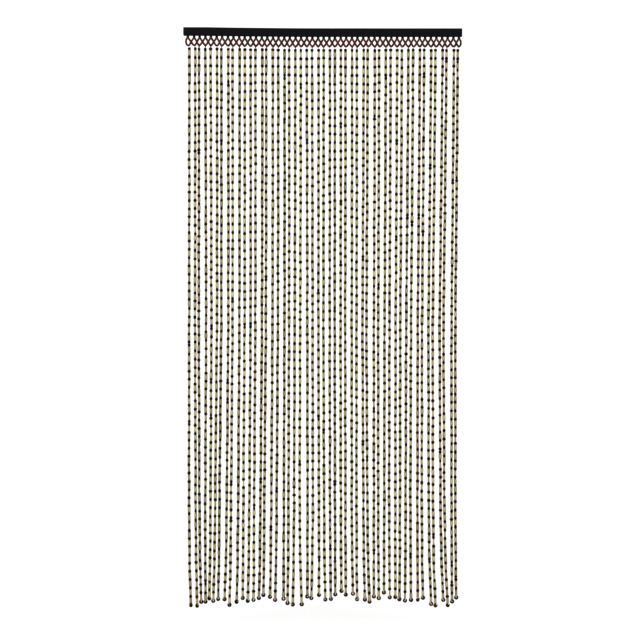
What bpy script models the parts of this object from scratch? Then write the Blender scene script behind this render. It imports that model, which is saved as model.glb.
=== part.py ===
"""A bead curtain for a doorway: a wooden rail, and under it a lattice of beaded cords that runs on
into 49 hanging strands, each ending in a large bored bead.

Metres, +Z up. The origin is the middle of the rail's back face, which goes against the wall or
door frame, and the curtain is looked at along +Y.
"""

from collections import namedtuple
import math

import bmesh
import bpy

# The rail: a batten with eased edges, and a stopped groove along its underside for the heading cord
RAIL_LENGTH = 0.900
RAIL_HEIGHT = 0.025
RAIL_DEPTH = 0.015
RAIL_EASE = 0.0018
RAIL_EASE_STEPS = 2
RAIL_UNDERSIDE = -RAIL_HEIGHT / 2
GROOVE_STOP = 0.004
GROOVE_WIDTH = 0.0046
GROOVE_DEPTH = 0.0050
FIT = 0.0003

# The heading cord, which ties every strand's root together inside the groove
HEADING_LENGTH = RAIL_LENGTH - 2 * (GROOVE_STOP + FIT)
HEADING_TOP = RAIL_UNDERSIDE + GROOVE_DEPTH - FIT
HEADING_FOOT = RAIL_UNDERSIDE + 0.0004
HEADING_THICK = GROOVE_WIDTH - 2 * FIT

# Strands hang in pairs along the rail, after one lone strand at the left end
PAIR_PITCH = 0.03643
FIRST_PAIR = -0.4067
LONE_STRAND = -0.4321
LONE_ROOT = -0.4358
ROOT_GAP = 0.0177
HANG_DEPTH = -RAIL_DEPTH / 2

# The lattice: a bead under the rail, two arms that cross the neighbours' arms, and a joint
NECK_HALF = 0.0017
ROOT_BEAD_HALF = 0.0036
ROOT_BEAD_LEVEL = -0.0164
ARM_TOP = -0.0205
CROSSING_LEVEL = -0.0328
JOINT_LEVEL = -0.0455
ARM_HALF_ACROSS = 0.0035
ARM_HALF_DOWN = 0.0023
ARM_THICK = 0.0042
END_BULGE = 0.0062
END_BULGE_HALF = 0.0020
END_LEVELS = (-0.0262, -0.0388)

# A hanging strand, down to the bored bead at its foot
THREAD_HALF = 0.0012
FIRST_BEAD_TOP = -0.0520
SHOULDER_DROP = 0.0020
STRAND_HALF = 0.0036
LOWEST_FOOT = -1.8526
FOOT_BEAD_RADIUS = 0.0065
FOOT_BORE_RADIUS = 0.0022
FOOT_BEAD_SIDES = 8
FOOT_BEAD_RIM_THICK = 0.0050
FOOT_BEAD_BORE_THICK = 0.0090

# Heights at which a strand's sideways wander is known, and where else it has a level
MID_LEVEL = -0.950
LOW_LEVEL = -1.530
STRAND_LEVELS = (-0.500, MID_LEVEL, -1.250, LOW_LEVEL, -1.720)

MM = 0.001

# Each pair's strands, in millimetres: the gap between their tops, how far both stand right of their
# tops at the mid and low levels, and for each foot how much higher than the lowest one it ends and
# how far right of its strand's top it hangs. Left is negative.
Pair = namedtuple("Pair", "gap mid low left_short left_foot right_short right_foot")
LONE = Pair(0, 0, 0, 2, 6, 2, 6)
PAIRS = (
    Pair(12.3, 0, 2, 0, 7, 13, 8),
    Pair(17.1, 2, -1, 13, 0, 24, -5),
    Pair(13.9, -1, -7, 16, -13, 22, -11),
    Pair(13.9, -1, -6, 21, -13, 3, -11),
    Pair(16.8, 0, -4, 13, -9, 25, -6),
    Pair(15.5, -1, -5, 16, -10, 19, -7),
    Pair(12.6, -2, -7, 25, -12, 35, -10),
    Pair(17.5, -2, -6, 29, -10, 19, -11),
    Pair(14.9, -1, -3, 23, -4, 9, -6),
    Pair(17.8, -3, -5, 4, -9, 5, 2),
    Pair(17.1, 1, 2, 30, 1, 25, -3),
    Pair(16.5, 0, 2, 35, 2, 20, 6),
    Pair(16.2, 0, 1, 22, 4, 37, 2),
    Pair(14.9, -2, -1, 48, 1, 36, 0),
    Pair(15.5, -2, -2, 39, 2, 21, 0),
    Pair(12.9, -5, -2, 20, 3, 13, 5),
    Pair(13.9, -4, -4, 30, -4, 25, -2),
    Pair(15.8, -5, -6, 43, -7, 27, -4),
    Pair(15.2, -6, -7, 28, -7, 21, -9),
    Pair(15.5, -8, -10, 17, -12, 19, -8),
    Pair(13.9, -8, -9, 20, -8, 26, -5),
    Pair(13.9, -10, -9, 6, -1, 1, -1),
    Pair(12.6, -11, -8, 19, 1, 2, 3),
    Pair(12.3, -9, -9, 14, -7, 27, -6),
)

# Colours are linear RGB
RAIL_COLOUR = (0.012, 0.012, 0.013, 1.0)
STRAND_COLOUR = (0.33, 0.27, 0.17, 1.0)

Strand = namedtuple("Strand", "root_x top_x mid low foot foot_z")


def finish(name, colour, roughness):
    """A plain surface of one colour."""
    material = bpy.data.materials.new(name)
    material.use_nodes = True
    shader = material.node_tree.nodes["Principled BSDF"]
    shader.inputs["Base Color"].default_value = colour
    shader.inputs["Roughness"].default_value = roughness
    shader.inputs["Metallic"].default_value = 0.0
    return material


def place(name, builder, material=None):
    """A named object made from a bmesh that is already where it belongs."""
    mesh = bpy.data.meshes.new(name)
    builder.to_mesh(mesh)
    builder.free()
    if material:
        mesh.materials.append(material)
    placed = bpy.data.objects.new(name, mesh)
    bpy.context.scene.collection.objects.link(placed)
    return placed


def block(size, centre):
    """A box of this size about this point, as a bmesh."""
    builder = bmesh.new()
    bmesh.ops.create_cube(builder, size=1.0)
    bmesh.ops.scale(builder, vec=size, verts=builder.verts)
    bmesh.ops.translate(builder, vec=centre, verts=builder.verts)
    return builder


def make_rail():
    """The batten, bevelled, with the groove cut up into its underside and stopped short of its ends."""
    batten = block((RAIL_LENGTH, RAIL_DEPTH, RAIL_HEIGHT), (0, HANG_DEPTH, 0))
    rail = place("rail", batten, finish("black painted wood", RAIL_COLOUR, 0.55))

    overrun = GROOVE_DEPTH
    groove_height = GROOVE_DEPTH + overrun
    groove_size = (RAIL_LENGTH - 2 * GROOVE_STOP, GROOVE_WIDTH, groove_height)
    groove_middle = RAIL_UNDERSIDE + GROOVE_DEPTH - groove_height / 2
    groove = place("groove cutter", block(groove_size, (0, HANG_DEPTH, groove_middle)))
    groove.hide_render = True
    groove.display_type = "WIRE"

    ease = rail.modifiers.new("eased edges", "BEVEL")
    ease.width = RAIL_EASE
    ease.segments = RAIL_EASE_STEPS
    cut = rail.modifiers.new("groove", "BOOLEAN")
    cut.operation = "DIFFERENCE"
    cut.object = groove


def list_strands():
    """Every strand from left to right, with its wander and its foot's height."""
    strands = [hung(LONE, LONE_ROOT, LONE_STRAND, LONE.left_foot, LONE.left_short)]
    for index, pair in enumerate(PAIRS):
        middle = FIRST_PAIR + index * PAIR_PITCH
        sides = (
            (-0.5, pair.left_foot, pair.left_short),
            (0.5, pair.right_foot, pair.right_short),
        )
        for side, foot, short in sides:
            root_x = middle + side * ROOT_GAP
            top_x = middle + side * pair.gap * MM
            strands.append(hung(pair, root_x, top_x, foot, short))
    return strands


def hung(pair, root_x, top_x, foot, short):
    """One strand of a pair, in metres."""
    return Strand(root_x, top_x, pair.mid * MM, pair.low * MM, foot * MM, LOWEST_FOOT + short * MM)


def eased(share):
    """0 to 1 with a gentle start and end."""
    share = min(1.0, max(0.0, share))
    return share * share * (3 - 2 * share)


def strand_x(strand, z):
    """Where the strand's middle line is at height z."""
    if z > MID_LEVEL:
        share = (FIRST_BEAD_TOP - z) / (FIRST_BEAD_TOP - MID_LEVEL)
        return strand.top_x + strand.mid * eased(share)
    if z > LOW_LEVEL:
        share = (MID_LEVEL - z) / (MID_LEVEL - LOW_LEVEL)
        return strand.top_x + strand.mid + (strand.low - strand.mid) * eased(share)
    share = (LOW_LEVEL - z) / (LOW_LEVEL - strand.foot_z)
    return strand.top_x + strand.low + (strand.foot - strand.low) * share * share


class FlatNet:
    """A net drawn flat in the plane of the curtain, and then given each point's own thickness."""

    def __init__(self):
        self.builder = bmesh.new()
        self.thickness = self.builder.verts.layers.float.new("thickness")

    def point(self, x, z, thick):
        vertex = self.builder.verts.new((x, HANG_DEPTH, z))
        vertex[self.thickness] = thick
        return vertex

    def level(self, x, z, half, thick):
        """The left and right point of a strand at one height."""
        return self.point(x - half, z, thick), self.point(x + half, z, thick)

    def panel(self, *corners):
        self.builder.faces.new(corners)

    def between(self, upper, lower):
        """The stretch of strand between two levels."""
        self.panel(upper[0], upper[1], lower[1], lower[0])

    def extruded(self):
        """Both skins and the edge walls, as one closed body."""
        drawn = list(self.builder.verts)
        grown = bmesh.ops.extrude_face_region(self.builder, geom=list(self.builder.faces))
        back = [item for item in grown["geom"] if isinstance(item, bmesh.types.BMVert)]
        for side, vertices in ((-1, drawn), (1, back)):
            for vertex in vertices:
                vertex.co.y = HANG_DEPTH + side * vertex[self.thickness] / 2
        bmesh.ops.recalc_face_normals(self.builder, faces=self.builder.faces)
        return self.builder


Root = namedtuple("Root", "left right foot")
Joint = namedtuple("Joint", "top left right")
Crossing = namedtuple("Crossing", "top left right foot")


def draw_root(net, strand):
    """The bead under the rail, from its neck in the groove to where its two arms leave."""
    x = strand.root_x
    neck = net.level(x, HEADING_FOOT, NECK_HALF, HEADING_THICK)
    clear = net.level(x, RAIL_UNDERSIDE - FIT, NECK_HALF, HEADING_THICK)
    widest = net.level(x, ROOT_BEAD_LEVEL, ROOT_BEAD_HALF, 2 * ROOT_BEAD_HALF)
    arms = net.level(x, ARM_TOP + ARM_HALF_DOWN, ARM_HALF_ACROSS, ARM_THICK)
    foot = net.point(x, ARM_TOP, ARM_THICK)
    net.between(neck, clear)
    net.between(clear, widest)
    net.panel(widest[0], widest[1], arms[1], foot, arms[0])
    return neck, Root(arms[0], arms[1], foot)


def draw_heading(net, necks):
    """The cord along the groove. Its lower edge opens into each strand's neck."""
    half = HEADING_LENGTH / 2
    lower = [net.point(-half, HEADING_FOOT, HEADING_THICK)]
    for neck in necks:
        lower.extend(neck)
    lower.append(net.point(half, HEADING_FOOT, HEADING_THICK))
    upper = [net.point(below.co.x, HEADING_TOP, HEADING_THICK) for below in lower]
    for index in range(len(lower) - 1):
        net.panel(upper[index], upper[index + 1], lower[index + 1], lower[index])


def draw_crossing(net, left, right):
    """The bead that two neighbours' arms share."""
    x = (left.root_x + right.root_x) / 2
    return Crossing(
        net.point(x, CROSSING_LEVEL + ARM_HALF_DOWN, ARM_THICK),
        net.point(x - ARM_HALF_ACROSS, CROSSING_LEVEL, ARM_THICK),
        net.point(x + ARM_HALF_ACROSS, CROSSING_LEVEL, ARM_THICK),
        net.point(x, CROSSING_LEVEL - ARM_HALF_DOWN, ARM_THICK),
    )


def draw_foot_bead(net, x, z):
    """The bored bead. Its flat top edge is the strand's last level, and its bore stays open."""
    turn = 2 * math.pi / FOOT_BEAD_SIDES
    rim, bore = [], []
    for side in range(FOOT_BEAD_SIDES):
        angle = math.pi / 2 - turn / 2 + side * turn
        across, up = math.cos(angle), math.sin(angle)
        rim.append(
            net.point(x + FOOT_BEAD_RADIUS * across, z + FOOT_BEAD_RADIUS * up, FOOT_BEAD_RIM_THICK)
        )
        bore.append(
            net.point(x + FOOT_BORE_RADIUS * across, z + FOOT_BORE_RADIUS * up, FOOT_BEAD_BORE_THICK)
        )
    for side in range(FOOT_BEAD_SIDES):
        after = (side + 1) % FOOT_BEAD_SIDES
        net.panel(rim[side], rim[after], bore[after], bore[side])
    return rim[1], rim[0]


def draw_strand(net, strand):
    """From the joint under the lattice down to the foot bead. Returns the joint's three upper points."""
    x = (strand.root_x + strand.top_x) / 2
    joint = Joint(
        net.point(x, JOINT_LEVEL + ARM_HALF_DOWN, ARM_THICK),
        net.point(x - ARM_HALF_ACROSS, JOINT_LEVEL, ARM_THICK),
        net.point(x + ARM_HALF_ACROSS, JOINT_LEVEL, ARM_THICK),
    )
    above = net.level(x, JOINT_LEVEL - ARM_HALF_DOWN, THREAD_HALF, 2 * THREAD_HALF)
    net.panel(joint.top, joint.right, above[1], above[0], joint.left)

    shoulder_z = FIRST_BEAD_TOP - SHOULDER_DROP
    stops = [(FIRST_BEAD_TOP, THREAD_HALF), (shoulder_z, STRAND_HALF)]
    stops += [(z, STRAND_HALF) for z in STRAND_LEVELS]
    for z, half in stops:
        below = net.level(strand_x(strand, z), z, half, 2 * half)
        net.between(above, below)
        above = below
    net.between(above, draw_foot_bead(net, strand_x(strand, strand.foot_z), strand.foot_z))
    return joint


def draw_arms(net, roots, joints, crossings):
    """The four arms at each crossing."""
    for index, crossing in enumerate(crossings):
        near, far = roots[index], roots[index + 1]
        under, beyond = joints[index], joints[index + 1]
        net.panel(near.right, crossing.top, crossing.left, near.foot)
        net.panel(crossing.top, far.left, far.foot, crossing.right)
        net.panel(crossing.left, crossing.foot, under.right, under.top)
        net.panel(crossing.right, beyond.top, beyond.left, crossing.foot)
        net.panel(crossing.top, crossing.right, crossing.foot, crossing.left)


def draw_end_loop(net, strand, side, root_points, joint_points):
    """The end strand's outer arms have no neighbour to cross, so they bow outwards in one loop."""
    x = strand.root_x + side * END_BULGE
    above = root_points
    for z in END_LEVELS:
        outer = net.point(x + side * END_BULGE_HALF, z, ARM_THICK)
        inner = net.point(x - side * END_BULGE_HALF, z, ARM_THICK)
        net.panel(above[0], outer, inner, above[1])
        above = (outer, inner)
    net.panel(above[0], joint_points[0], joint_points[1], above[1])


def make_strand_net():
    """Heading cord, lattice and strands, one body."""
    strands = list_strands()
    net = FlatNet()
    necks, roots = zip(*(draw_root(net, strand) for strand in strands))
    draw_heading(net, necks)
    joints = [draw_strand(net, strand) for strand in strands]
    crossings = [draw_crossing(net, left, right) for left, right in zip(strands, strands[1:])]
    draw_arms(net, roots, joints, crossings)
    first, last = strands[0], strands[-1]
    draw_end_loop(net, first, -1, (roots[0].left, roots[0].foot), (joints[0].left, joints[0].top))
    draw_end_loop(net, last, 1, (roots[-1].right, roots[-1].foot), (joints[-1].right, joints[-1].top))
    place("bead_strands", net.extruded(), finish("beaded strands", STRAND_COLOUR, 0.6))


def main():
    for leftover in list(bpy.data.objects):
        bpy.data.objects.remove(leftover)
    make_rail()
    make_strand_net()


main()
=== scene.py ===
# %% [markdown]
# # A bead curtain on its rail
# The real curtain is a black batten with 49 strings of beads tied under it. Close under the batten
# the strings cross their neighbours in a lattice of tiny beads. Below that they hang straight, each
# with a dark round bead and a pale piece of bamboo in turn, and a big bored bead at its foot.
# The plain solid model is loaded first. It is the frame that every finer piece has to fit.

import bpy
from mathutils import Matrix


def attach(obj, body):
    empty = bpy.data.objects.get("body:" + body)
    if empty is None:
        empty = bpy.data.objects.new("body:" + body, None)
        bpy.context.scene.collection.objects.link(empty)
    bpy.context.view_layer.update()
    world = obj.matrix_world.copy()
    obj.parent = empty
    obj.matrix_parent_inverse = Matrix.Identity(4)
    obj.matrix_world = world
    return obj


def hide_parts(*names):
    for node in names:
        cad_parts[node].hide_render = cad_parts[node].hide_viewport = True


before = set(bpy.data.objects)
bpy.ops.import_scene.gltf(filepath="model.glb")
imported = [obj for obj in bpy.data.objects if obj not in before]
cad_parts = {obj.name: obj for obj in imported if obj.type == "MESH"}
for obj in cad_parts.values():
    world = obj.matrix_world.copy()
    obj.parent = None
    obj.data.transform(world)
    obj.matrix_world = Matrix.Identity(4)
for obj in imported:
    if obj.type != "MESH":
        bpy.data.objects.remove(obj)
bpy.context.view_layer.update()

# %% The modules that the other cells use
import math
import random
from collections import namedtuple

import bmesh
import bpy
import numpy as np
from mathutils import Matrix, Vector

chance = random.Random(49)
MM = 0.001

# %% [markdown]
# ## Where each string hangs
# Nothing is measured twice. The solid strands already hang where the photographed ones do, so their
# middle lines are read back from the frame. A copy of the solid is merged, cut off just under the
# lattice, and falls apart into one island for each strand. The foot bead is always an island's
# lowest points, and the points above it come in levels.

# %% Read the strands' middle lines from the solids
HANG_DEPTH = -7.5 * MM
BELOW_LATTICE = -54.2 * MM
FOOT_BEAD_POINTS = 32
BAR_SIDES = 4
SAME_POINT = 0.01 * MM
SAME_LEVEL = 0.05 * MM

Path = namedtuple("Path", "heights places foot_x foot_z")


def merged_solid(node):
    """A CAD node's triangles, joined where they meet."""
    builder = bmesh.new()
    builder.from_mesh(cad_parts[node].data)
    bmesh.ops.remove_doubles(builder, verts=builder.verts, dist=SAME_POINT)
    return builder


def islands(builder):
    """The separate pieces of a mesh, as lists of points."""
    waiting = set(builder.verts)
    found = []
    while waiting:
        reached = [waiting.pop()]
        for vertex in reached:
            for edge in vertex.link_edges:
                other = edge.other_vert(vertex)
                if other in waiting:
                    waiting.remove(other)
                    reached.append(other)
        found.append([vertex.co.copy() for vertex in reached])
    return found


def middle_line(points):
    """One strand's path from its top down to its foot bead."""
    points = sorted(points, key=lambda point: point.z)
    foot = points[:FOOT_BEAD_POINTS]
    foot_x = sum(point.x for point in foot) / len(foot)
    foot_z = sum(point.z for point in foot) / len(foot)
    levels = {round(foot_z, 4): [foot_x]}
    for point in points[FOOT_BEAD_POINTS:]:
        levels.setdefault(round(point.z, 4), []).append(point.x)
    heights = sorted(levels)
    places = [sum(levels[height]) / len(levels[height]) for height in heights]
    return Path(heights, places, foot_x, foot_z)


def level_middles(points, level):
    """The middles, from left to right, of the bars that have their corners at one level."""
    across = sorted(point.x for point in points if abs(point.z - level) < SAME_LEVEL)
    return [sum(across[at:at + BAR_SIDES]) / BAR_SIDES for at in range(0, len(across), BAR_SIDES)]


solid = merged_solid("bead_strands")
solid_points = [vertex.co.copy() for vertex in solid.verts]
bmesh.ops.bisect_plane(
    solid,
    geom=solid.verts[:] + solid.edges[:] + solid.faces[:],
    plane_co=(0, 0, BELOW_LATTICE),
    plane_no=(0, 0, 1),
    clear_outer=True,
)
paths = sorted((middle_line(points) for points in islands(solid)), key=lambda path: path.foot_x)
solid.free()
print(len(paths), "strands, the lowest foot at", min(path.foot_z for path in paths))

# %% Read the lattice's roots and joints
ROOT_BEAD_LEVEL = -16.4 * MM
CROSSING_LEVEL = -32.8 * MM
JOINT_LEVEL = -45.5 * MM

roots = level_middles(solid_points, ROOT_BEAD_LEVEL)
joints = level_middles(solid_points, JOINT_LEVEL)
print(len(roots), "roots and", len(joints), "joints, the first at", roots[0], joints[0])

# %% [markdown]
# ## Wood grain, once for every wooden thing
# The batten, the bamboo and all the beads are wood, and wood has long fibres. A noise pattern that is
# squeezed across the fibres and stretched along them gives those. A node group holds it once, and
# each material then sets its own scale. It reads Object coordinates, so the grain has its real size
# in metres and doesn't depend on how a piece is unwrapped.

# %% The grain group
def sockets(group, inputs, outputs):
    """Gives a node group its named inputs, with their starting values, and its outputs."""
    for name, kind, value in inputs:
        group.interface.new_socket(name, in_out="INPUT", socket_type=kind).default_value = value
    for name, kind in outputs:
        group.interface.new_socket(name, in_out="OUTPUT", socket_type=kind)


def feed(node, inputs):
    """Gives each named input of a node its value, or links it where that is another node's output."""
    for name, value in inputs.items():
        if isinstance(value, bpy.types.NodeSocket):
            node.id_data.links.new(value, node.inputs[name])
        else:
            node.inputs[name].default_value = value


def add(tree, kind, place, inputs=None, **settings):
    """One node, with its place in the editor, its settings and what feeds it."""
    node = tree.nodes.new(kind)
    node.location = place
    for name, value in settings.items():
        setattr(node, name, value)
    feed(node, inputs or {})
    return node


def make_grain_group():
    """Long streaks, fine fibres and broad blotches."""
    group = bpy.data.node_groups.new("Wood grain", "ShaderNodeTree")
    sockets(
        group,
        [
            ("Squeeze", "NodeSocketVector", (400.0, 400.0, 30.0)),
            ("Twist", "NodeSocketFloat", 0.0),
        ],
        [("Streaks", "NodeSocketFloat"), ("Fibres", "NodeSocketFloat"), ("Blotches", "NodeSocketFloat")],
    )
    given = add(group, "NodeGroupInput", (-900, 0)).outputs
    where = add(group, "ShaderNodeTexCoord", (-900, -200)).outputs["Object"]
    squeezed = add(
        group, "ShaderNodeVectorMath", (-680, 0), {0: where, 1: given["Squeeze"]}, operation="MULTIPLY",
    ).outputs[0]
    moved = add(
        group, "ShaderNodeVectorMath", (-500, 0), {0: squeezed, 1: given["Twist"]}, operation="ADD",
    ).outputs[0]
    out = add(group, "NodeGroupOutput", (0, 0))
    for name, height, scale, detail in (
        ("Streaks", 200, 1.0, 3.0),
        ("Fibres", 0, 3.7, 2.0),
        ("Blotches", -200, 0.22, 4.0),
    ):
        noise = {"Vector": moved, "Scale": scale, "Detail": detail}
        pattern = add(group, "ShaderNodeTexNoise", (-300, height), noise)
        feed(out, {name: pattern.outputs[0]})
    return group


grain_group = make_grain_group()
print("group", grain_group.name, "puts out", [item.name for item in grain_group.interface.items_tree])

# %% [markdown]
# ## A tint for every bead
# No two pieces of bamboo have quite the same colour. Each bead carries two numbers of its own: its
# tone picks a colour from a ramp, and its shade makes that colour lighter or darker. This second
# group takes the picked colour and mixes in the shade and the wood's streaks and blotches, so five
# materials can share it.

# %% The tint group
def make_tint_group():
    """A colour that the wood's patterns and the bead's own shade make lighter or darker."""
    group = bpy.data.node_groups.new("Bead tint", "ShaderNodeTree")
    sockets(
        group,
        [
            ("Colour", "NodeSocketColor", (0.5, 0.5, 0.5, 1.0)),
            ("Streaks", "NodeSocketFloat", 0.5),
            ("Blotches", "NodeSocketFloat", 0.5),
            ("Streak depth", "NodeSocketFloat", 0.3),
            ("Blotch depth", "NodeSocketFloat", 0.3),
            ("Shade range", "NodeSocketFloat", 0.4),
        ],
        [("Colour", "NodeSocketColor")],
    )
    given = add(group, "NodeGroupInput", (-900, 0)).outputs
    shade = add(group, "ShaderNodeAttribute", (-900, 250), attribute_name="shade").outputs["Fac"]
    factors = []
    for source, depth, height in (
        (given["Streaks"], given["Streak depth"], 0),
        (given["Blotches"], given["Blotch depth"], -180),
        (shade, given["Shade range"], 180),
    ):
        centred = add(group, "ShaderNodeMath", (-680, height), {0: source, 1: 0.5}, operation="SUBTRACT")
        scaling = {0: centred.outputs[0], 1: depth, 2: 1.0}
        scaled = add(group, "ShaderNodeMath", (-500, height), scaling, operation="MULTIPLY_ADD")
        factors.append(scaled.outputs[0])
    patterns = add(
        group, "ShaderNodeMath", (-320, 0), {0: factors[0], 1: factors[1]}, operation="MULTIPLY",
    ).outputs[0]
    every = add(
        group, "ShaderNodeMath", (-160, 0), {0: patterns, 1: factors[2]}, operation="MULTIPLY",
    ).outputs[0]
    lit = add(
        group, "ShaderNodeVectorMath", (0, 0), {0: given["Colour"], "Scale": every}, operation="SCALE",
    )
    add(group, "NodeGroupOutput", (180, 0), {"Colour": lit.outputs[0]})
    return group


tint_group = make_tint_group()
print("group", tint_group.name, "has", len(tint_group.nodes), "nodes")

# %% [markdown]
# ## Finishes
# Every wooden finish here is the same recipe with other values: a ramp of the real thing's colours
# that the bead's tone picks from, the tint group over it, and the grain again as a slight roughness
# and relief. One function builds it, and the table of finishes under it reads like a paint chart.
# Colours are linear, so they look darker as numbers than they do on screen.

# %% A function for a wooden finish
def ramp(tree, place, factor, stops):
    """A colour ramp with these (position, colour) stops, read where the factor says."""
    node = add(tree, "ShaderNodeValToRGB", place, {"Fac": factor})
    row = node.color_ramp.elements
    while len(row) < len(stops):
        row.new(0.5)
    for element, (position, colour) in zip(row, stops):
        element.position = position
        element.color = (*colour, 1.0)
    return node.outputs["Color"]


def wooden(name, colours, squeeze, streak, blotch, shade, roughness, relief, gloss, coat=0.0):
    """A wooden finish. The colours lie evenly along the ramp that a bead's tone picks from."""
    material = bpy.data.materials.new(name)
    material.use_nodes = True
    tree = material.node_tree
    tone = add(tree, "ShaderNodeAttribute", (-1100, 200), attribute_name="tone").outputs["Fac"]
    steps = len(colours) - 1
    tones = ramp(tree, (-900, 300), tone, [(index / steps, colour) for index, colour in enumerate(colours)])
    pattern = {"Squeeze": squeeze, "Twist": tone}
    grain = add(tree, "ShaderNodeGroup", (-900, 0), pattern, node_tree=grain_group).outputs
    tinting = {
        "Colour": tones,
        "Streaks": grain["Streaks"],
        "Blotches": grain["Blotches"],
        "Streak depth": streak,
        "Blotch depth": blotch,
        "Shade range": shade,
    }
    tint = add(tree, "ShaderNodeGroup", (-560, 200), tinting, node_tree=tint_group)
    span = {"Value": grain["Streaks"], "To Min": roughness[0], "To Max": roughness[1]}
    rough = add(tree, "ShaderNodeMapRange", (-560, -100), span)
    fibres = {"Height": grain["Fibres"], "Strength": relief, "Distance": 0.2 * MM}
    bump = add(tree, "ShaderNodeBump", (-300, -250), fibres)
    feed(tree.nodes["Principled BSDF"], {
        "Base Color": tint.outputs["Colour"],
        "Roughness": rough.outputs["Result"],
        "Normal": bump.outputs["Normal"],
        "Specular IOR Level": gloss,
        "Coat Weight": coat,
        "Coat Roughness": 0.25,
    })
    return material


# %% The wooden finishes
rail_paint = wooden(
    "Black painted batten",
    [(0.0125, 0.0128, 0.0148), (0.0235, 0.0245, 0.0285)],
    squeeze=(12.0, 420.0, 420.0),
    streak=0.5, blotch=0.5, shade=0.0, roughness=(0.45, 0.65), relief=0.35, gloss=0.12,
)
dark_wood = wooden(
    "Dark stained bead",
    [(0.008, 0.0038, 0.0018), (0.018, 0.0082, 0.0034), (0.038, 0.0165, 0.0066)],
    squeeze=(900.0, 900.0, 150.0),
    streak=0.6, blotch=0.5, shade=0.7, roughness=(0.35, 0.5), relief=0.25, gloss=0.15, coat=0.02,
)
seed_wood = wooden(
    "Red brown seed bead",
    [
        (0.052, 0.017, 0.006),
        (0.098, 0.027, 0.008),
        (0.138, 0.016, 0.010),
        (0.098, 0.038, 0.011),
        (0.155, 0.090, 0.048),
    ],
    squeeze=(1300.0, 1300.0, 300.0),
    streak=0.5, blotch=0.4, shade=0.6, roughness=(0.32, 0.46), relief=0.2, gloss=0.15, coat=0.02,
)
foot_wood = wooden(
    "Brown turned foot bead",
    [(0.016, 0.008, 0.005), (0.040, 0.017, 0.009), (0.085, 0.030, 0.015)],
    squeeze=(260.0, 700.0, 700.0),
    streak=0.7, blotch=0.6, shade=0.5, roughness=(0.35, 0.5), relief=0.3, gloss=0.15, coat=0.02,
)
print([material.name for material in bpy.data.materials])

# %% [markdown]
# ## Bamboo
# The pale pieces are thin bamboo, sawn to length. The stems were picked as they grew, so the tones
# run from green through grey and cream to brown. The ends are darker, partly from the saw's stain and
# partly as painted shade where the dark beads press on the bamboo, and some lengths have a ring where
# a leaf grew. The ends are marked with an attribute on the mesh, named end, because a pattern in space
# couldn't follow thousands of separate ends.

# %% The bamboo finish
bamboo = wooden(
    "Natural bamboo",
    [
        (0.330, 0.306, 0.174),
        (0.400, 0.358, 0.216),
        (0.405, 0.358, 0.234),
        (0.455, 0.396, 0.262),
        (0.430, 0.358, 0.238),
        (0.392, 0.300, 0.184),
    ],
    squeeze=(1500.0, 1500.0, 45.0),
    streak=0.5, blotch=0.45, shade=0.5, roughness=(0.4, 0.6), relief=0.5, gloss=0.25,
)


def stain_and_shade_ends(material, colour, strength):
    """Darkens a finish towards the ends that the mesh marks: a saw-cut stain together with painted shade
    where the beads meet it.
    """
    tree = material.node_tree
    shader = tree.nodes["Principled BSDF"]
    marked = add(tree, "ShaderNodeAttribute", (-560, 480), attribute_name="end").outputs["Fac"]
    amount = add(tree, "ShaderNodeMath", (-380, 480), {0: marked, 1: strength}, operation="MULTIPLY")
    plain = shader.inputs["Base Color"].links[0].from_socket
    mixing = {"Factor": amount.outputs[0], "A": plain, "B": (*colour, 1.0)}
    stained = add(tree, "ShaderNodeMix", (-200, 300), mixing, data_type="RGBA")
    feed(shader, {"Base Color": stained.outputs["Result"]})


# The colour at the ends is partly saw-cut stain and partly painted shade of the neighbouring dark beads.
stain_and_shade_ends(bamboo, (0.08, 0.06, 0.035), 0.8)
print(bamboo.name, "has", len(bamboo.node_tree.nodes), "nodes")

# %% [markdown]
# ## Thread
# The strings are pale waxed thread. It shows for a few millimetres above the first bead and where it
# is tied round the foot beads. A wave pattern along the thread is its twist.

# %% The thread finish
def make_thread_finish():
    """Pale thread, with its twist as a pattern of slanting waves."""
    material = bpy.data.materials.new("Pale waxed thread")
    material.use_nodes = True
    tree = material.node_tree
    where = add(tree, "ShaderNodeTexCoord", (-900, 0)).outputs["Object"]
    slant = add(tree, "ShaderNodeMapping", (-720, 0), {"Vector": where, "Rotation": (0.0, 0.6, 0.4)})
    wave = {"Vector": slant.outputs["Vector"], "Scale": 420.0, "Distortion": 1.5}
    twist = add(tree, "ShaderNodeTexWave", (-520, 0), wave).outputs["Fac"]
    colours = ramp(tree, (-300, 100), twist, [(0.2, (0.42, 0.38, 0.31)), (0.8, (0.72, 0.68, 0.60))])
    ridges = {"Height": twist, "Strength": 0.5, "Distance": 0.1 * MM}
    bump = add(tree, "ShaderNodeBump", (-300, -200), ridges)
    feed(tree.nodes["Principled BSDF"], {
        "Base Color": colours,
        "Normal": bump.outputs["Normal"],
        "Roughness": 0.55,
    })
    return material


thread_finish = make_thread_finish()
print(thread_finish.name)

# %% [markdown]
# ## One bead of each kind
# A bead is turned on a lathe, and Blender's lathe is spin: it sweeps an outline round an axis. The
# outline runs down the outside and back up through the bore, so the bead is closed and can be looked
# into. There will be thousands of copies, so most kinds have only a few dozen faces, shaded smooth,
# with the edges round the bore kept crisp. Each bead also gets a small map of its own, once round
# and once along, which its copies later take to their own places.

# %% Turn a bead from its outline
MAP = "OFBake"
CELL_EDGE = 0.04
SEAM = 0.001 * MM


def as_object(name, builder, material, shown=True):
    """Makes an object of a builder's mesh. It goes in the scene, unless it is only to be copied."""
    mesh = bpy.data.meshes.new(name)
    builder.to_mesh(mesh)
    builder.free()
    mesh.materials.append(material)
    made = bpy.data.objects.new(name, mesh)
    if shown:
        bpy.context.scene.collection.objects.link(made)
    return made


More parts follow.
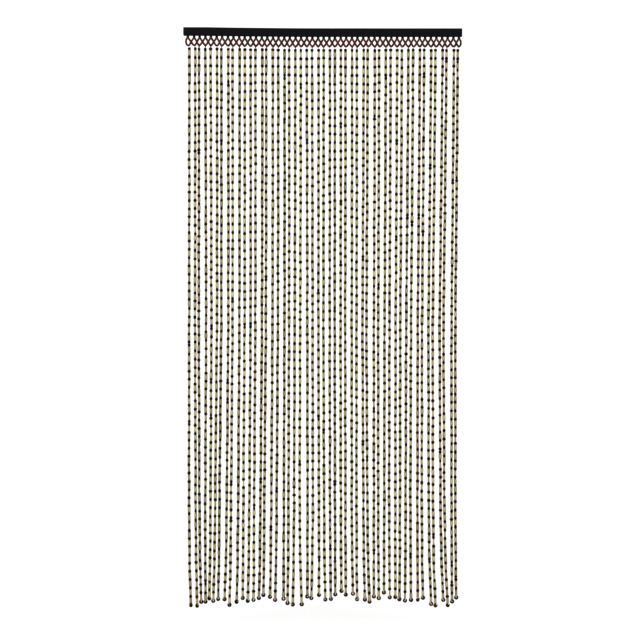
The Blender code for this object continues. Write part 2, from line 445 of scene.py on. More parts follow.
def lay_out(builder, rows):
    """Maps each face by its angle round the axis and its row on the outline."""
    layer = builder.loops.layers.uv.new(MAP)
    row = builder.verts.layers.int["row"]
    inner = 1 - 2 * CELL_EDGE
    for face in builder.faces:
        middle = face.calc_center_median()
        heading = math.atan2(middle.y, middle.x)
        wraps = {loop.vert[row] for loop in face.loops} >= {0, rows - 1}
        for corner in face.loops:
            place = corner.vert.co
            turn = math.atan2(place.y, place.x) - heading
            turn = heading + (turn + math.pi) % math.tau - math.pi
            along = rows if wraps and corner.vert[row] == 0 else corner.vert[row]
            around = (turn + math.pi) / math.tau
            corner[layer].uv = (CELL_EDGE + inner * around, CELL_EDGE + inner * along / rows)


def turned(name, outline, sides, material, crisp_rows=(), stain_and_shade_rows=None):
    """A bead turned about Z from (radius, height) points in millimetres, as an unplaced object."""
    builder = bmesh.new()
    row = builder.verts.layers.int.new("row")
    # The end attribute says how dark each row is made: saw-cut stain together with painted shade where the
    # beads meet the bamboo.
    end = builder.verts.layers.float.new("end")
    rim = [builder.verts.new((radius * MM, 0, height * MM)) for radius, height in outline]
    for index, vertex in enumerate(rim):
        vertex[row] = index
        vertex[end] = (stain_and_shade_rows or {}).get(index, 0.0)
    ring = [builder.edges.new(ends) for ends in zip(rim, rim[1:] + rim[:1])]
    bmesh.ops.spin(
        builder, geom=rim + ring, cent=(0, 0, 0), axis=(0, 0, 1),
        angle=math.tau, steps=sides, use_merge=True,
    )
    bmesh.ops.remove_doubles(builder, verts=builder.verts, dist=SEAM)
    bmesh.ops.recalc_face_normals(builder, faces=builder.faces)
    for face in builder.faces:
        face.smooth = True
    for edge in builder.edges:
        rows = {vertex[row] for vertex in edge.verts}
        edge.smooth = not (len(rows) == 1 and rows <= set(crisp_rows))
    lay_out(builder, len(outline))
    builder.verts.layers.int.remove(row)
    return as_object(name, builder, material, shown=False)


# %% The beads and the bamboo
BEAD_HEIGHT = 9.8
TUBE_LENGTH = 16.6
SEED_HEIGHT = 3.6

round_bead = turned(
    "1 round bead",
    [(0.9, 4.9), (3.3, 4.6), (4.8, 2.8), (5.3, 0.0), (4.8, -2.8), (3.3, -4.6), (0.9, -4.9)],
    8, dark_wood, crisp_rows=(0, 6),
)
# The rows listed for each tube darken it towards its ends, partly as saw-cut stain and partly as painted
# shade where the round beads meet it. The ringed tube's ring row is darkened too.
bamboo_tube = turned(
    "2 bamboo tube",
    [(1.1, 8.2), (3.1, 8.3), (4.0, 7.4), (4.1, 0.6), (4.0, -7.4), (3.1, -8.3), (1.1, -8.2)],
    8, bamboo, crisp_rows=(0, 1, 5, 6), stain_and_shade_rows={0: 1.0, 1: 0.8, 2: 0.2, 4: 0.2, 5: 0.8, 6: 1.0},
)
ringed_tube = turned(
    "3 ringed tube",
    [
        (1.1, 8.2), (3.1, 8.3), (4.0, 7.4), (3.9, 3.6), (4.45, 2.9),
        (3.95, 2.3), (4.0, -7.4), (3.1, -8.3), (1.1, -8.2),
    ],
    8, bamboo, crisp_rows=(0, 1, 7, 8),
    stain_and_shade_rows={0: 1.0, 1: 0.8, 2: 0.2, 4: 0.5, 6: 0.2, 7: 0.8, 8: 1.0},
)
seed_bead = turned(
    "1 seed bead",
    [(0.5, 1.8), (2.7, 1.7), (3.15, 0.7), (3.15, -0.7), (2.7, -1.7), (0.5, -1.8)],
    8, seed_wood, crisp_rows=(0, 5),
)
root_bead = turned(
    "2 root bead",
    [(0.8, 4.1), (2.9, 4.0), (3.9, 2.4), (4.2, 0.0), (3.9, -2.4), (2.9, -4.0), (0.8, -4.1)],
    10, dark_wood, crisp_rows=(0, 6),
)
foot_bead = turned(
    "1 foot bead",
    [
        (2.5, 3.8), (3.0, 4.3), (3.9, 4.4), (5.2, 3.7), (6.4, 2.2), (6.8, 0.0),
        (6.4, -2.2), (5.2, -3.7), (3.9, -4.4), (3.0, -4.3), (2.5, -3.8),
    ],
    16, foot_wood,
)
foot_bead.data.transform(Matrix.Rotation(math.pi / 2, 4, "X"))
for shape in (round_bead, bamboo_tube, ringed_tube, seed_bead, root_bead, foot_bead):
    print(shape.name, len(shape.data.polygons), "faces")

# %% [markdown]
# ## Threading: many copies on points
# A string of beads is a list of places. Each place becomes a point that carries what its bead needs:
# which shape, which way it is turned, its size, its tone and shade, and its own square on the piece's
# map. Geometry Nodes puts a copy on each point, and realizing the instances turns the copies into one
# ordinary mesh. That is far quicker than adding beads one at a time, and easy to change.

# %% The node group that threads the beads
Bead = namedtuple("Bead", "shape place turn size tone shade")


def named(tree, name, kind, place):
    """One of the points' attributes, read by a node."""
    reader = add(tree, "GeometryNodeInputNamedAttribute", place, {"Name": name}, data_type=kind)
    return reader.outputs["Attribute"]


def make_threading(shapes, cell):
    """Copies the collection's shapes onto points, each on its own square of the map."""
    tree = bpy.data.node_groups.new("Threading", "GeometryNodeTree")
    tree.interface.new_socket("Geometry", in_out="INPUT", socket_type="NodeSocketGeometry")
    tree.interface.new_socket("Geometry", in_out="OUTPUT", socket_type="NodeSocketGeometry")
    given = add(tree, "NodeGroupInput", (-800, 0))
    picking = {"Collection": shapes, "Separate Children": True, "Reset Children": True}
    stock = add(tree, "GeometryNodeCollectionInfo", (-800, -200), picking)
    angles = named(tree, "turn", "FLOAT_VECTOR", (-800, -400))
    turn = add(tree, "FunctionNodeEulerToRotation", (-600, -400), {0: angles})
    copying = {
        "Points": given.outputs[0],
        "Instance": stock.outputs[0],
        "Pick Instance": True,
        "Instance Index": named(tree, "shape", "INT", (-600, -250)),
        "Rotation": turn.outputs[0],
        "Scale": named(tree, "size", "FLOAT_VECTOR", (-600, -550)),
    }
    copies = add(tree, "GeometryNodeInstanceOnPoints", (-400, 0), copying)
    joined = add(tree, "GeometryNodeRealizeInstances", (-200, 0), {0: copies.outputs[0]})

    placing = {
        0: named(tree, MAP, "FLOAT_VECTOR", (-400, -300)),
        1: (cell, cell, 0.0),
        2: named(tree, "cell", "FLOAT_VECTOR", (-400, -450)),
    }
    moved = add(tree, "ShaderNodeVectorMath", (-200, -300), placing, operation="MULTIPLY_ADD")
    storing = {"Geometry": joined.outputs[0], "Name": MAP, "Value": moved.outputs[0]}
    mapped = add(
        tree, "GeometryNodeStoreNamedAttribute", (0, 0), storing, data_type="FLOAT2", domain="CORNER",
    )
    add(tree, "NodeGroupOutput", (200, 0), {0: mapped.outputs[0]})
    return tree


def points_for(name, beads, columns):
    """A mesh of loose points that carry what each bead needs."""
    mesh = bpy.data.meshes.new(name)
    mesh.vertices.add(len(beads))
    mesh.vertices.foreach_set("co", np.array([bead.place for bead in beads], np.float32).ravel())
    cells = [(index % columns / columns, index // columns / columns, 0.0) for index in range(len(beads))]
    vectors = {"turn": [bead.turn for bead in beads], "size": [bead.size for bead in beads], "cell": cells}
    numbers = {"tone": [bead.tone for bead in beads], "shade": [bead.shade for bead in beads]}
    for label, values in vectors.items():
        layer = mesh.attributes.new(label, "FLOAT_VECTOR", "POINT")
        layer.data.foreach_set("vector", np.array(values, np.float32).ravel())
    for label, values in numbers.items():
        mesh.attributes.new(label, "FLOAT", "POINT").data.foreach_set("value", values)
    mesh.attributes.new("shape", "INT", "POINT").data.foreach_set("value", [bead.shape for bead in beads])
    return mesh


def threaded(name, shapes, beads):
    """One mesh of all these beads, as a finished object."""
    columns = math.ceil(math.sqrt(len(beads)))
    stock = bpy.data.collections.new(name + " shapes")
    for shape in shapes:
        stock.objects.link(shape)
    points = bpy.data.objects.new(name + " points", points_for(name, beads, columns))
    bpy.context.scene.collection.objects.link(points)
    modifier = points.modifiers.new("Threading", "NODES")
    modifier.node_group = make_threading(stock, 1 / columns)
    seen = points.evaluated_get(bpy.context.evaluated_depsgraph_get())
    mesh = bpy.data.meshes.new_from_object(seen)
    mesh.name = name
    for label in ("turn", "size", "cell", "shape"):
        if label in mesh.attributes:
            mesh.attributes.remove(mesh.attributes[label])
    piece = bpy.data.objects.new(name, mesh)
    bpy.context.scene.collection.objects.link(piece)
    bpy.data.objects.remove(points)
    bpy.data.collections.remove(stock)
    return piece


print("threading is ready")

# %% [markdown]
# ## The hanging strings
# The first round bead sits a few millimetres under the lattice, and the beads then follow in turn.
# Hand-threaded strings aren't exact: now and then there are two round beads together, some of the
# round ones are squat and some are drawn out, and no piece of bamboo is as long or as thick as the
# next. The lengths are drawn at random from a fixed seed and then stretched a little, so that each
# string ends just on its foot bead.

# %% The batten isn't quite straight
BOWS_FROM = -0.38
LOWEST_FROM = 0.07
DROOP_BELOW = 1.1 * MM
BOW = 3.9 * MM


def droop(x):
    """How far the batten hangs under its straight line here. It bows down from its left end."""
    share = (LOWEST_FROM - x) / (LOWEST_FROM - BOWS_FROM)
    return DROOP_BELOW - BOW * min(1.0, max(0.0, share)) ** 2


# %% Follow a path down
PATH_STEPS = 400
SMOOTHED_STEPS = 15
WAVE_LENGTHS = (0.11, 0.19, 0.34)
WAVER = 0.22 * MM
FADES_OVER = 0.1


def near(mean, spread, low=0.0, high=1.0):
    """A random number close to the mean, kept between two limits."""
    return min(high, max(low, chance.gauss(mean, spread)))


def smooth_path(path):
    """The path's sideways place at any height, with its corners rounded and a slight waver."""
    fine = np.linspace(path.foot_z, BELOW_LATTICE, PATH_STEPS)
    places = np.interp(fine, path.heights, path.places)
    padded = np.pad(places, SMOOTHED_STEPS // 2, mode="edge")
    places = np.convolve(padded, np.ones(SMOOTHED_STEPS) / SMOOTHED_STEPS, "valid")
    waver = np.zeros_like(fine)
    for length in WAVE_LENGTHS:
        start = chance.uniform(0, math.tau)
        waver += WAVER * np.sin(math.tau * fine / length + start)
    from_top = np.clip((BELOW_LATTICE - fine) / FADES_OVER, 0, 1)
    from_foot = np.clip((fine - path.foot_z) / FADES_OVER, 0, 1)
    places = places + waver * (from_top * from_foot)
    return lambda height: float(np.interp(height, fine, places))


print("each path is smoothed over", SMOOTHED_STEPS, "of its", PATH_STEPS, "steps")

# %% Plan one string's beads
# Heights along a string are in millimetres, like the outlines. Places in the scene are in metres.
FIRST_BEAD = -56.7 * MM
UNEVEN_START = 1.2
FOOT_BEAD_TOP = 6.5 * MM
FOOT_OVERLAP = 0.2 * MM
PERIOD = 27.05
DOUBLE_BEADS = 1 / 42
RINGED_TUBES = 1 / 12
BEAD_DEPTH = 0.84
TUBE_FILLS = 0.996
LEAN_REACH = 5 * MM
LEAN_SPREAD = 0.012
DEPTH_SPREAD = 0.15
ROUND, TUBE, RINGED = range(3)


def plan_string(length):
    """Kinds and heights, in millimetres, of the beads that fill this length from the top."""
    plan = []
    for _ in range(round(length / MM / PERIOD)):
        for _ in range(2 if chance.random() < DOUBLE_BEADS else 1):
            plan.append([ROUND, BEAD_HEIGHT * near(1.0, 0.1, 0.84, 1.25)])
        plan.append([TUBE, TUBE_LENGTH * chance.uniform(0.93, 1.08)])
    beads = sum(height for kind, height in plan if kind == ROUND)
    tubes = sum(height for kind, height in plan if kind == TUBE)
    stretch = (length / MM - beads) / tubes
    return [(kind, height * stretch if kind == TUBE else height) for kind, height in plan]


def hanging(lean, nod, spin):
    """The turn of a bead that is first spun on its thread and then leans with it."""
    leaned = Matrix.Rotation(lean, 3, "Y") @ Matrix.Rotation(nod, 3, "X")
    return tuple((leaned @ Matrix.Rotation(spin, 3, "Z")).to_euler())


def string_beads(path, across, string_tone, string_shade):
    """All beads of one string, except the foot bead. A squat round bead is wider than a tall one."""
    above = BEAD_HEIGHT / 2 + chance.uniform(-UNEVEN_START, UNEVEN_START)
    top = FIRST_BEAD + above * MM - droop(across(FIRST_BEAD))
    end = path.foot_z + FOOT_BEAD_TOP - FOOT_OVERLAP
    beads = []
    height = top
    for kind, span in plan_string(top - end):
        middle = height - span / 2 * MM
        height -= span * MM
        lean = math.atan2(across(middle + LEAN_REACH) - across(middle - LEAN_REACH), 2 * LEAN_REACH)
        lean += chance.gauss(0, LEAN_SPREAD)
        turn = hanging(lean, chance.gauss(0, LEAN_SPREAD), chance.uniform(0, math.tau))
        if kind == ROUND:
            wide = min(1.08, chance.uniform(0.96, 1.05) * (BEAD_HEIGHT / span) ** 0.8)
            size = (wide, wide * BEAD_DEPTH, span / BEAD_HEIGHT)
            shade = chance.random()
            tone = chance.random() ** 2
        else:
            kind = RINGED if chance.random() < RINGED_TUBES else TUBE
            wide = near(1.04, 0.12, 0.72, 1.18)
            oval = chance.uniform(1.0, 1.08)
            size = (wide * oval, wide / oval, span / TUBE_LENGTH * TUBE_FILLS)
            shade = near(string_shade, 0.17)
            tone = near(string_tone, 0.13)
        place = (across(middle), HANG_DEPTH + chance.gauss(0, DEPTH_SPREAD) * MM, middle)
        beads.append(Bead(kind, place, turn, size, tone, shade))
    return beads


print("a 1.8 m string takes", len(plan_string(1.8)), "beads")

# %% Thread the strings, a few to a piece
STRINGS_EACH = 4


def finish_piece(piece, node):
    """Puts a finished piece in the solid's place."""
    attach(piece, "root")
    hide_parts(node)


lines = [smooth_path(path) for path in paths]
string_tones = [near(0.45, 0.24, 0.02, 0.95) for _ in paths]
string_shades = [near(0.5, 0.26, 0.05, 0.95) for _ in paths]
groups = [list(range(STRINGS_EACH + 1))]
groups += [list(range(at, at + STRINGS_EACH)) for at in range(STRINGS_EACH + 1, len(paths), STRINGS_EACH)]
for number, group in enumerate(groups, 1):
    beads = []
    for index in group:
        beads += string_beads(paths[index], lines[index], string_tones[index], string_shades[index])
    strings = threaded(f"bead_strings_{number:02d}", [round_bead, bamboo_tube, ringed_tube], beads)
    finish_piece(strings, "bead_strands")
    print(strings.name, len(beads), "beads", len(strings.data.polygons), "faces")

# %% [markdown]
# ## The lattice
# Two short strings of tiny beads leave each root. Each crosses its neighbour's string halfway, where
# the two share a bead, and comes back to its own side's joint in a rounded V. Under about half of
# the Vs one more tiny bead sits on the thread. The two outermost strings have nothing to cross, so
# they bow out in one loop. Each string is a curve with a few points. Beads are spaced evenly along
# it, and each is turned to face along the curve.

# %% Curves for the lattice
SEED_PITCH = 3.7 * MM
SEED_FILLS = 0.97
LOOK_AHEAD = 1 * MM
SEED, ROOT = range(2)


def bent(start, pull, stop, steps=12):
    """Points along a curve that leaves start towards pull and arrives at stop from there."""
    shares = [step / steps for step in range(steps + 1)]
    return [start * (1 - t) ** 2 + pull * 2 * t * (1 - t) + stop * t * t for t in shares]


def seeds_along(points, skip_start, skip_stop, tone):
    """Seed beads spaced evenly along the points, clear of what holds both ends."""
    steps = [(b - a).length for a, b in zip(points, points[1:])]
    reach = np.concatenate([[0.0], np.cumsum(steps)])

    def place_at(distance):
        return Vector([float(np.interp(distance, reach, row)) for row in zip(*points)])

    length = reach[-1] - skip_start - skip_stop
    count = max(1, round(length / SEED_PITCH))
    seeds = []
    for index in range(count):
        at = skip_start + length * (index + 0.5) / count
        where = place_at(at)
        facing = (place_at(at + LOOK_AHEAD) - where).to_track_quat("Z", "Y").to_euler()
        wide = chance.uniform(0.92, 1.06)
        size = (wide, wide, length / count / (SEED_HEIGHT * MM) * SEED_FILLS)
        own_tone = near(tone, 0.1, 0.0, 0.75)
        seeds.append(Bead(SEED, tuple(where), tuple(facing), size, own_tone, chance.random()))
    return seeds


def flat(x, z):
    """A point in the curtain's plane."""
    return Vector((x, HANG_DEPTH, z))


def under_rail(x, z):
    """A point in the curtain's plane that keeps its distance from the bowed batten."""
    return flat(x, z - droop(x))


def lone_bead(shape, place, wide, tall, tone):
    """A bead that sits upright by itself."""
    turn = (0.0, 0.0, chance.uniform(0, math.tau))
    return Bead(shape, tuple(place), turn, (wide, wide, tall), tone, chance.random())


print("a seed bead every", SEED_PITCH / MM, "mm")

# %% Thread the lattice
ARM_TOP = -20.6 * MM
ARM_OFFSET = 1.2 * MM
END_BULGE = 6.2 * MM
LOOP_SHOULDER = 3 * MM
LOWER_PULL = 0.52
ROOT_CLEARANCE = 0.6 * MM
JOINT_CLEARANCE = 2.0 * MM
CROSSING_CLEARANCE = 1.6 * MM
SPACER_LEVEL = JOINT_LEVEL - 3.6 * MM
SPACERS = 0.45


def arms_between(left, right):
    """The four arms round one crossing, and the bead that they share there."""
    crossing = under_rail((roots[left] + roots[right]) / 2, CROSSING_LEVEL)
    beads = [lone_bead(SEED, crossing, 0.85, 0.85, chance.uniform(0.5, 1.0))]
    for index in (left, right):
        tone = abs(chance.gauss(0, 0.35))
        side = 1 if crossing.x > roots[index] else -1
        top = under_rail(roots[index] + side * ARM_OFFSET, ARM_TOP)
        upper_pull = (top + crossing) / 2
        beads += seeds_along(bent(top, upper_pull, crossing), ROOT_CLEARANCE, CROSSING_CLEARANCE, tone)
        joint = under_rail(joints[index], JOINT_LEVEL)
        lower_pull = flat(
            joint.x + (crossing.x - joint.x) * LOWER_PULL,
            joint.z + (crossing.z - joint.z) * bellies[index],
        )
        beads += seeds_along(bent(crossing, lower_pull, joint), CROSSING_CLEARANCE, JOINT_CLEARANCE, tone)
    return beads


def end_loop(index, side):
    """The outer arms of an end strand, bowed outwards."""
    top = under_rail(roots[index] + side * ARM_OFFSET, ARM_TOP)
    middle = under_rail(roots[index] + side * END_BULGE, (ARM_TOP + JOINT_LEVEL) / 2)
    joint = under_rail(joints[index], JOINT_LEVEL)
    upper = bent(top, flat(middle.x, top.z - LOOP_SHOULDER), middle)
    lower = bent(middle, flat(middle.x, joint.z + LOOP_SHOULDER), joint)
    return seeds_along(upper + lower[1:], ROOT_CLEARANCE, JOINT_CLEARANCE, 0.1)


bellies = [chance.uniform(0.12, 0.42) for _ in joints]
lattice_beads = end_loop(0, -1) + end_loop(len(roots) - 1, 1)
for left in range(len(roots) - 1):
    lattice_beads += arms_between(left, left + 1)
for root, joint, across in zip(roots, joints, lines):
    lattice_beads.append(lone_bead(ROOT, under_rail(root, ROOT_BEAD_LEVEL), 1.0, 1.0, chance.random()))
    joint_tone = chance.uniform(0.0, 0.4)
    lattice_beads.append(lone_bead(SEED, under_rail(joint, JOINT_LEVEL), 1.0, 1.0, joint_tone))
    if chance.random() < SPACERS:
        between = joint + (across(BELOW_LATTICE) - joint) * 0.4
        lattice_beads.append(lone_bead(SEED, under_rail(between, SPACER_LEVEL), 0.6, 0.9, 0.2))
lattice = threaded("beaded_lattice", [seed_bead, root_bead], lattice_beads)
finish_piece(lattice, "bead_strands")
print(lattice.name, len(lattice_beads), "beads", len(lattice.data.polygons), "faces")

# %% [markdown]
# ## Foot beads, tied on
# Each string ends in a big bead whose bore faces the room, with the thread tied round its upper rim.
# Real ones have swung round by different amounts. The loop of thread is another job for spin: a
# small circle swept round an axis is a ring, and two scaled rings side by side make the tie.

# %% The tie
TIE_THREAD_RADIUS = 0.85 * MM
TIE_LOOP_RADIUS = 3.4 * MM
TIE_OFFSET = 1.0 * MM
TIE_SCALE = (1.0, 1.48, 0.96)
TIE_LIFT = 4.3 * MM
TIE_MAP_SCALE = 50
FOOT, TIE = range(2)


def make_tie():
    """Two closed loops of thread, side by side."""
    builder = bmesh.new()
    for offset in (-TIE_OFFSET, TIE_OFFSET):
        where = (offset, TIE_LOOP_RADIUS, 0)
        circle = bmesh.ops.create_circle(
            builder, segments=6, radius=TIE_THREAD_RADIUS,
            matrix=Matrix.Translation(where) @ Matrix.Rotation(math.pi / 2, 4, "Y"),
        )
        bmesh.ops.rotate(
            builder, verts=circle["verts"], cent=where,
            matrix=Matrix.Rotation(math.pi / 2, 3, "Z") @ Matrix.Rotation(math.pi / 2, 3, "Y"),
        )
        edges = {edge for vertex in circle["verts"] for edge in vertex.link_edges}
        bmesh.ops.spin(
            builder, geom=circle["verts"] + list(edges), cent=(0, 0, 0), axis=(1, 0, 0),
            angle=math.tau, steps=12, use_merge=True,
        )
    bmesh.ops.remove_doubles(builder, verts=builder.verts, dist=SEAM)
    bmesh.ops.scale(builder, vec=TIE_SCALE, verts=builder.verts)
    bmesh.ops.translate(builder, vec=(0, 0, TIE_LIFT), verts=builder.verts)
    bmesh.ops.recalc_face_normals(builder, faces=builder.faces)
    layer = builder.loops.layers.uv.new(MAP)
    for face in builder.faces:
        face.smooth = True
        for corner in face.loops:
            place = corner.vert.co
            corner[layer].uv = (0.5 + place.y * TIE_MAP_SCALE, 0.25 + place.z * TIE_MAP_SCALE)
    return as_object("2 tie", builder, thread_finish, shown=False)


tie = make_tie()
print(tie.name, len(tie.data.polygons), "faces")

# %% Hang the foot beads
foot_beads = []
for path in paths:
    twist = chance.gauss(0, 0.45)
    turn = (chance.gauss(0, 0.12), chance.gauss(0, 0.4), twist)
    place = (path.foot_x, HANG_DEPTH, path.foot_z)
    wide = chance.uniform(0.98, 1.05)
    foot_beads.append(Bead(FOOT, place, turn, (wide, wide, wide), chance.random(), chance.random()))
    foot_beads.append(Bead(TIE, place, turn, (1.0, 1.0, 1.0), 0.5, 0.5))
feet = threaded("foot_beads", [foot_bead, tie], foot_beads)
finish_piece(feet, "bead_strands")
print(feet.name, len(feet.data.polygons), "faces")

# %% [markdown]
# ## The thread through everything
# The thread is hidden in the beads for most of its way, but gaps between beads show it. A small
# closed circle is extruded down the path in short steps. One long tube like that is cheaper than a
# curve with a bevel, and its ends are closed.

# %% Draw the threads
THREAD_RADIUS = 0.55 * MM
THREAD_STEPS = 16
ROOT_THREAD_LEVELS = (-9.6, -14.0, -21.5)


def pushed(builder, face, step, keep=False):
    """Extrudes one face by a step. The old face goes, unless it is kept as the far end's cap."""
    grown = bmesh.ops.extrude_face_region(builder, geom=[face])
    front = next(item for item in grown["geom"] if isinstance(item, bmesh.types.BMFace))
    if not keep:
        bmesh.ops.delete(builder, geom=[face], context="FACES_ONLY")
    bmesh.ops.translate(builder, vec=step, verts=front.verts)
    return front


def draw_thread(builder, places):
    """A closed five-sided thread through these places."""
    disc = bmesh.ops.create_circle(
        builder, cap_ends=True, segments=5, radius=THREAD_RADIUS,
        matrix=Matrix.Translation(places[0]),
    )
    face = disc["verts"][0].link_faces[0]
    for before, after in zip(places, places[1:]):
        face = pushed(builder, face, after - before, keep=before is places[0])


thread_builder = bmesh.new()
for path, across, root, joint in zip(paths, lines, roots, joints):
    down = [under_rail(joint, JOINT_LEVEL), flat(across(BELOW_LATTICE), BELOW_LATTICE)]
    end = path.foot_z + FOOT_BEAD_TOP
    for height in np.linspace(BELOW_LATTICE - 2 * MM, end, THREAD_STEPS):
        down.append(flat(across(float(height)), float(height)))
    draw_thread(thread_builder, down)
    draw_thread(thread_builder, [under_rail(root, level * MM) for level in ROOT_THREAD_LEVELS])
bmesh.ops.recalc_face_normals(thread_builder, faces=thread_builder.faces)
threads = as_object("threads", thread_builder, thread_finish)
finish_piece(threads, "bead_strands")
print(threads.name, len(threads.data.polygons), "faces")

# %% [markdown]
# ## The batten
# The rail is a plain batten with rounded edges and a groove along its underside. A cube is scaled,
# all its edges are bevelled, and the groove is inset into the bottom face and pushed up. Cuts across
# it every few centimetres let it follow the bow, with a ripple of a tenth of a millimetre, because a
# real batten is never quite straight, and its paint catches the light unevenly.

# %% Make the batten
RAIL_SIZE = (900 * MM, 15 * MM, 25.4 * MM)
RAIL_FOOT = -12.5 * MM
RAIL_EASE = 1.8 * MM
GROOVE_SIZE = (892 * MM, 4.6 * MM)
GROOVE_DEPTH = 5.0 * MM


def make_batten():
    """The straight batten, with its groove."""
    builder = bmesh.new()
    bmesh.ops.create_cube(builder, size=1.0)
    bmesh.ops.scale(builder, vec=RAIL_SIZE, verts=builder.verts)
    bmesh.ops.bevel(
        builder, geom=builder.edges[:], offset=RAIL_EASE, affect="EDGES",
        segments=4, profile=0.5, material=-1,
    )
    bottom = min(builder.faces, key=lambda face: face.calc_center_median().z)
    width = RAIL_SIZE[1] - 2 * RAIL_EASE
    bmesh.ops.inset_region(builder, faces=[bottom], thickness=(width - GROOVE_SIZE[1]) / 2)
    length = max(vertex.co.x for vertex in bottom.verts) * 2
    bmesh.ops.scale(builder, vec=(GROOVE_SIZE[0] / length, 1, 1), verts=bottom.verts)
    pushed(builder, bottom, (0, 0, GROOVE_DEPTH))
    lift = RAIL_FOOT + RAIL_SIZE[2] / 2
    bmesh.ops.translate(builder, vec=(0, HANG_DEPTH, lift), verts=builder.verts)
    return builder


batten_builder = make_batten()
print("batten", len(batten_builder.faces), "faces before its cuts")

# %% Bend it a little and finish it
CUTS_EACH_SIDE = 17
CUT_EVERY = 25 * MM
RIPPLE = 0.1 * MM
SHARP_FROM = math.radians(50)

for cut in range(-CUTS_EACH_SIDE, CUTS_EACH_SIDE + 1):
    bmesh.ops.bisect_plane(
        batten_builder,
        geom=batten_builder.verts[:] + batten_builder.edges[:] + batten_builder.faces[:],
        plane_co=(cut * CUT_EVERY, 0, 0),
        plane_no=(1, 0, 0),
    )
for vertex in batten_builder.verts:
    wave = math.sin(vertex.co.x * 7.3 + 0.8) + 0.5 * math.sin(vertex.co.x * 19.0)
    vertex.co.z += RIPPLE * wave - droop(vertex.co.x)
bmesh.ops.recalc_face_normals(batten_builder, faces=batten_builder.faces)
for face in batten_builder.faces:
    face.smooth = True
for edge in batten_builder.edges:
    edge.smooth = edge.calc_face_angle() < SHARP_FROM
batten = as_object("batten", batten_builder, rail_paint)
finish_piece(batten, "rail")
print(batten.name, len(batten.data.polygons), "faces")

# %% [markdown]
# ## The heading cord
# A cord lies in the groove and every string is knotted to it. It can only be seen from below. It is
# a circle with every third corner drawn in, extruded along the groove and twisted at each step, so
# that three strands seem to wind round each other like a rope's.

# %% Lay the heading cord
HEADING_LENGTH = 891 * MM
HEADING_HEIGHT = -9.9 * MM
HEADING_RADIUS = 1.9 * MM
HEADING_STEPS = 180
HEADING_TWIST = math.radians(24)
DRAWN_IN = 0.8

cord_builder = bmesh.new()
start = Vector((-HEADING_LENGTH / 2, HANG_DEPTH, HEADING_HEIGHT))
disc = bmesh.ops.create_circle(
    cord_builder, cap_ends=True, segments=9, radius=HEADING_RADIUS,
    matrix=Matrix.Translation(start) @ Matrix.Rotation(math.pi / 2, 4, "Y"),
)
for vertex in disc["verts"][::3]:
    vertex.co = start + (vertex.co - start) * DRAWN_IN
face = disc["verts"][0].link_faces[0]
for step in range(HEADING_STEPS):
    face = pushed(cord_builder, face, (HEADING_LENGTH / HEADING_STEPS, 0, 0), keep=step == 0)
    bmesh.ops.rotate(
        cord_builder, verts=face.verts, cent=start, matrix=Matrix.Rotation(HEADING_TWIST, 3, "X"),
    )
for vertex in cord_builder.verts:
    vertex.co.z -= droop(vertex.co.x)
bmesh.ops.recalc_face_normals(cord_builder, faces=cord_builder.faces)
heading_cord = as_object("heading_cord", cord_builder, thread_finish)
finish_piece(heading_cord, "bead_strands")
print(heading_cord.name, len(heading_cord.data.polygons), "faces")

# %% [markdown]
# ## Room, light and camera
# A floor that curves up into a backdrop keeps the horizon out of the picture. It glows like the
# sheet of a light table. Thin dark strings lose their edges against a wall that is brighter than
# white, so the sheet's own colour is a dull grey, and its glow lifts that to white and no further.
# It can't be seen from its own back, so a camera behind the curtain looks through it. Two large soft
# lights from the front model the beads, and the contrast is raised, as in a product photograph. The
# camera stands square to the curtain, and its lens is worked out from the width of wall in the
# photograph.

# %% The floor and backdrop
FLOOR_LEVEL = -1.925
BACKDROP_AT = 2.4
BACKDROP_CURVE = 1.0
CURVE_STEPS = 12
SHEET_SIDE = 9
SHEET_FRONT = -7
SHEET_TOP = 6


def glowing_sheet(name, colour, glow):
    """A matt sheet that glows, and that is clear when looked at from its back."""
    material = bpy.data.materials.new(name)
    material.use_nodes = True
    tree = material.node_tree
    shader = tree.nodes["Principled BSDF"]
    feed(shader, {
        "Base Color": (*colour, 1.0),
        "Roughness": 0.9,
        "Specular IOR Level": 0.0,
        "Emission Color": (1.0, 1.0, 1.0, 1.0),
        "Emission Strength": glow,
    })
    side = add(tree, "ShaderNodeNewGeometry", (0, 400)).outputs["Backfacing"]
    clear = add(tree, "ShaderNodeBsdfTransparent", (0, 150)).outputs["BSDF"]
    mixing = {"Fac": side, 1: shader.outputs["BSDF"], 2: clear}
    choice = add(tree, "ShaderNodeMixShader", (500, 300), mixing)
    feed(tree.nodes["Material Output"], {"Surface": choice.outputs["Shader"]})
    return material


def make_backdrop():
    """A strip that runs back along the floor and curves up into a wall."""
    builder = bmesh.new()
    corner = Vector((0, BACKDROP_AT - BACKDROP_CURVE, FLOOR_LEVEL + BACKDROP_CURVE))
    row = [builder.verts.new((-SHEET_SIDE, SHEET_FRONT, FLOOR_LEVEL))]
    for step in range(CURVE_STEPS + 1):
        angle = step / CURVE_STEPS * math.pi / 2
        row.append(builder.verts.new((
            -SHEET_SIDE,
            corner.y + BACKDROP_CURVE * math.sin(angle),
            corner.z - BACKDROP_CURVE * math.cos(angle),
        )))
    row.append(builder.verts.new((-SHEET_SIDE, BACKDROP_AT, SHEET_TOP)))
    edges = [builder.edges.new(ends) for ends in zip(row, row[1:])]
    swept = bmesh.ops.extrude_edge_only(builder, edges=edges)
    moved = [item for item in swept["geom"] if isinstance(item, bmesh.types.BMVert)]
    bmesh.ops.translate(builder, vec=(2 * SHEET_SIDE, 0, 0), verts=moved)
    bmesh.ops.recalc_face_normals(builder, faces=builder.faces)
    floor = min(builder.faces, key=lambda face: face.calc_center_median().y)
    if floor.normal.z < 0:
        bmesh.ops.reverse_faces(builder, faces=builder.faces)
    for face in builder.faces:
        face.smooth = True
    return as_object("backdrop", builder, glowing_sheet("Pale floor", (0.2, 0.2, 0.2), 0.825))


make_backdrop()

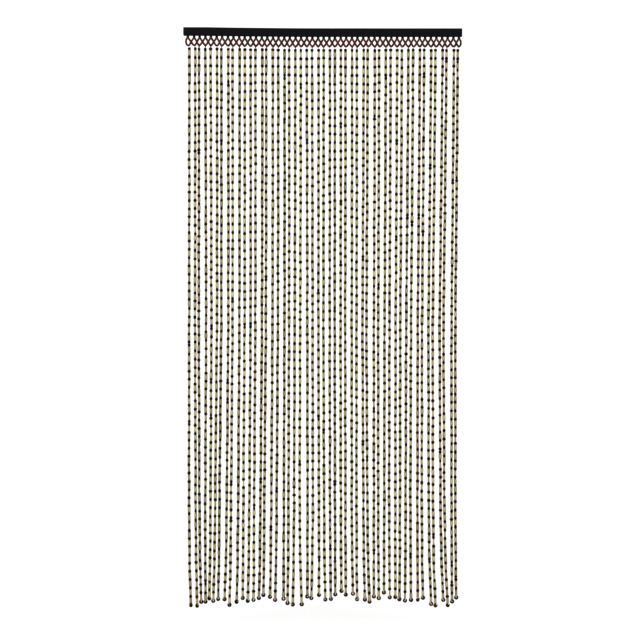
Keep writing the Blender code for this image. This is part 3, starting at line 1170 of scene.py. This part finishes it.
# %% The lights
def soft_light(name, place, aim, size, watts):
    """A square area light that looks at a point."""
    data = bpy.data.lights.new(name, "AREA")
    data.size = size
    data.energy = watts
    light = bpy.data.objects.new(name, data)
    light.location = place
    light.rotation_euler = (Vector(aim) - Vector(place)).to_track_quat("-Z", "Y").to_euler()
    light.visible_camera = False
    bpy.context.scene.collection.objects.link(light)


middle = (0, 0, -0.93)
soft_light("front left", (-2.6, -3.4, 0.9), middle, 2.2, 140)
soft_light("front right", (2.8, -3.2, 0.4), middle, 2.2, 104)


def make_world(fill, seen):
    """A world that gives a little light from all round and looks plain white itself."""
    world = bpy.data.worlds.new("studio")
    world.use_nodes = True
    tree = world.node_tree
    looked_at = add(tree, "ShaderNodeLightPath", (-500, 0)).outputs["Is Camera Ray"]
    span = {"Value": looked_at, "To Min": fill, "To Max": seen}
    strength = add(tree, "ShaderNodeMapRange", (-250, 0), span).outputs["Result"]
    feed(tree.nodes["Background"], {"Color": (1.0, 1.0, 1.0, 1.0), "Strength": strength})
    return world


bpy.context.scene.world = make_world(0.5, 1.05)
bpy.context.scene.view_settings.view_transform = "Standard"
bpy.context.scene.view_settings.gamma = 0.65
print(len(bpy.data.lights), "lights")

# %% The camera
PHOTO_PIXELS = 640
METRES_A_PIXEL = 0.0032316
RAIL_CENTRE_PIXEL = (322.75, 32.43)
STANDS_BACK = 5.0
SENSOR = 36.0

camera_data = bpy.data.cameras.new("camera")
camera = bpy.data.objects.new("camera", camera_data)
camera.location = (
    (PHOTO_PIXELS / 2 - RAIL_CENTRE_PIXEL[0]) * METRES_A_PIXEL,
    -STANDS_BACK,
    -(PHOTO_PIXELS / 2 - RAIL_CENTRE_PIXEL[1]) * METRES_A_PIXEL,
)
camera.rotation_euler = (math.pi / 2, 0, 0)
camera_data.sensor_width = SENSOR
camera_data.lens = SENSOR * (STANDS_BACK + HANG_DEPTH) / (PHOTO_PIXELS * METRES_A_PIXEL)
bpy.context.scene.collection.objects.link(camera)
bpy.context.scene.camera = camera
print("lens", round(camera_data.lens, 2), "mm")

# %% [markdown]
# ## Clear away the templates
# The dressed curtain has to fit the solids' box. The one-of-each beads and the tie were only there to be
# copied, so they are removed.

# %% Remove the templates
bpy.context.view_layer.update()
for shape in (round_bead, bamboo_tube, ringed_tube, seed_bead, root_bead, foot_bead, tie):
    bpy.data.objects.remove(shape)
